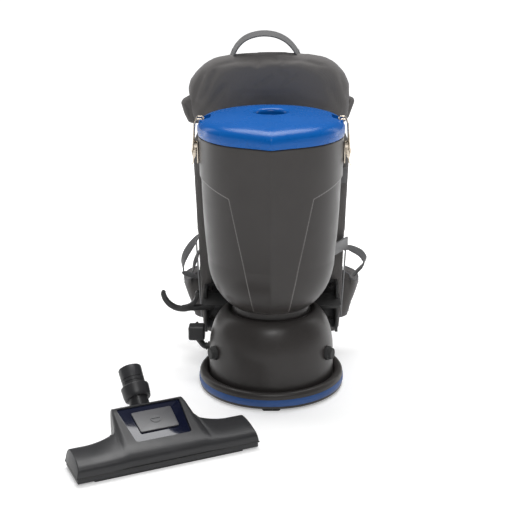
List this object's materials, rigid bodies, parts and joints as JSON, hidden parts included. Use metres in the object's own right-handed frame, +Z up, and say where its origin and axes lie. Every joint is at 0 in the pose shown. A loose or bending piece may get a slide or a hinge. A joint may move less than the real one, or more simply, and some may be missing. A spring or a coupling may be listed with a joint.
{
  "type": "backpack vacuum cleaner",
  "caption": "Backpack vacuum: tapered black tub with latched blue lid and hose inlet, domed motor base, padded harness with hip belt, cord hook and a turbo floor tool.",
  "frame": {"origin": "centre of the round base, on the floor that the rubber feet stand on", "axes": "+Z up along the tub; -Y towards the creased front of the tub; +Y towards the back pads that the wearer leans on; -X the side with the cord hook"},
  "size_m": [0.4881, 0.6901, 0.6087],
  "materials": {
    "shell_black": "moulded plastic, fine spark texture, satin",
    "lid_blue": "moulded plastic, smooth satin gloss",
    "band_blue": "blue rubber bumper band",
    "rubber_black": "black rubber",
    "inner_grey": "plain moulded plastic inside",
    "filter_paper": "filter paper and nonwoven",
    "filter_foam": "open foam",
    "latch_steel": "nickel-plated spring steel, warm tint",
    "steel": "bright steel",
    "copper_iron": "laminated iron and winding",
    "fan_alu": "cast aluminium",
    "bracket_black": "glass-filled moulded plastic",
    "plug_black": "moulded plug rubber",
    "pad_fabric": "woven nylon over foam",
    "pad_mesh": "spacer mesh",
    "webbing": "woven polypropylene webbing",
    "grey_plastic": "grey acetal",
    "tool_black": "moulded plastic, fine texture",
    "tool_window": "tinted clear plastic",
    "tool_panel": "grey moulded plastic",
    "bristle": "nylon tufts",
    "turbine_grey": "moulded plastic"
  },
  "bodies": {
    "frame": {"tub_shell": "shell_black", "filter_bag": "filter_paper", "dome_filter": "filter_foam", "motor_housing": "shell_black", "base_ring": "shell_black", "blue_band": "band_blue", "base_plate": "shell_black", "base_feet": "rubber_black", "base_screws": "steel", "side_bumpers": "rubber_black", "fan_case": "fan_alu", "motor_gasket": "filter_foam", "motor_frame": "steel", "stator": "copper_iron", "motor_cradle": "rubber_black", "motor_bearings": "steel", "motor_brushes": "inner_grey", "exhaust_filter": "filter_foam", "inlet_boot": "plug_black", "inlet_plug": "plug_black", "cord_hook": "bracket_black", "tub_brackets": "bracket_black", "back_plate": "bracket_black", "back_pad": "pad_fabric", "lumbar_pad": "pad_mesh", "yoke_cover": "pad_fabric", "carry_loop": "webbing", "shoulder_straps": "pad_fabric", "strap_webbing": "webbing", "ladder_locks": "bracket_black", "hip_wings": "pad_fabric", "belt_webbing": "webbing", "buckle_socket": "bracket_black", "buckle_prongs": "bracket_black", "side_loops": "webbing", "rail_keepers": "grey_plastic", "latch_bases": "latch_steel"},
    "lid": {"lid": "lid_blue", "lid_gasket": "rubber_black"},
    "lever_right": {"latch_lever_right": "latch_steel"},
    "lever_left": {"latch_lever_left": "latch_steel"},
    "bail_right": {"latch_bail_right": "latch_steel"},
    "bail_left": {"latch_bail_left": "latch_steel"},
    "rotor": {"motor_rotor": "copper_iron", "fan_impeller": "fan_alu"},
    "floor_tool": {"tool_body": "tool_black", "tool_sole": "tool_black", "tool_glides": "rubber_black", "tool_window": "tool_window", "tool_panel": "tool_panel", "tool_bearings": "inner_grey", "knuckle_pin": "steel", "tool_belt": "rubber_black"},
    "neck": {"neck_knuckle": "tool_black", "neck_tube": "tool_black"},
    "turbine": {"tool_turbine": "turbine_grey"},
    "brush": {"tool_brush_roll": "turbine_grey", "tool_bristles": "bristle"},
    "tool_wheels": {"tool_wheels": "rubber_black"}
  },
  "joints": [
    {"name": "lid_lift", "type": "slide", "parent": "frame", "child": "lid", "axis": [0, 0, 1], "range_m": [0, 0.05]},
    {"name": "lever_right_turn", "type": "hinge", "parent": "frame", "child": "lever_right", "pos_m": [0.1285, 0, 0.434], "axis": [0, -1, 0], "range_deg": [0, 100]},
    {"name": "lever_left_turn", "type": "hinge", "parent": "frame", "child": "lever_left", "pos_m": [-0.1285, 0, 0.434], "axis": [0, 1, 0], "range_deg": [0, 100]},
    {"name": "bail_right_turn", "type": "hinge", "parent": "lever_right", "child": "bail_right", "pos_m": [0.13158, 0, 0.42554], "axis": [0, 1, 0], "range_deg": [0, 255]},
    {"name": "bail_left_turn", "type": "hinge", "parent": "lever_left", "child": "bail_left", "pos_m": [-0.13158, 0, 0.42554], "axis": [0, -1, 0], "range_deg": [0, 255]},
    {"name": "rotor_spin", "type": "hinge", "parent": "frame", "child": "rotor", "pos_m": [0, 0, 0.08], "axis": [0, 0, 1], "continuous": true},
    {"name": "tool_lift", "type": "slide", "parent": "frame", "child": "floor_tool", "axis": [0, 0, 1], "range_m": [0, 0.15]},
    {"name": "neck_tilt", "type": "hinge", "parent": "floor_tool", "child": "neck", "pos_m": [-0.21046, -0.19567, 0.03], "axis": [0.9092, 0.4163, 0], "range_deg": [-30, 45]},
    {"name": "turbine_spin", "type": "hinge", "parent": "floor_tool", "child": "turbine", "pos_m": [-0.18777, -0.24522, 0.031], "axis": [0.9092, 0.4163, 0], "continuous": true},
    {"name": "brush_spin", "type": "hinge", "parent": "floor_tool", "child": "brush", "pos_m": [-0.16446, -0.29614, 0.016], "axis": [0.9092, 0.4163, 0], "continuous": true},
    {"name": "wheel_spin", "type": "hinge", "parent": "floor_tool", "child": "tool_wheels", "pos_m": [-0.19547, -0.2284, 0.009], "axis": [0.9092, 0.4163, 0], "continuous": true}
  ],
  "couplings": [
    {"joint": "lever_right_turn", "follows": "lid_lift", "rad_per_m": 34.903},
    {"joint": "lever_left_turn", "follows": "lid_lift", "rad_per_m": 34.903},
    {"joint": "bail_right_turn", "follows": "lid_lift", "rad_per_m": 89.003},
    {"joint": "bail_left_turn", "follows": "lid_lift", "rad_per_m": 89.003},
    {"joint": "turbine_spin", "follows": "brush_spin", "ratio": 1.4286}
  ]
}
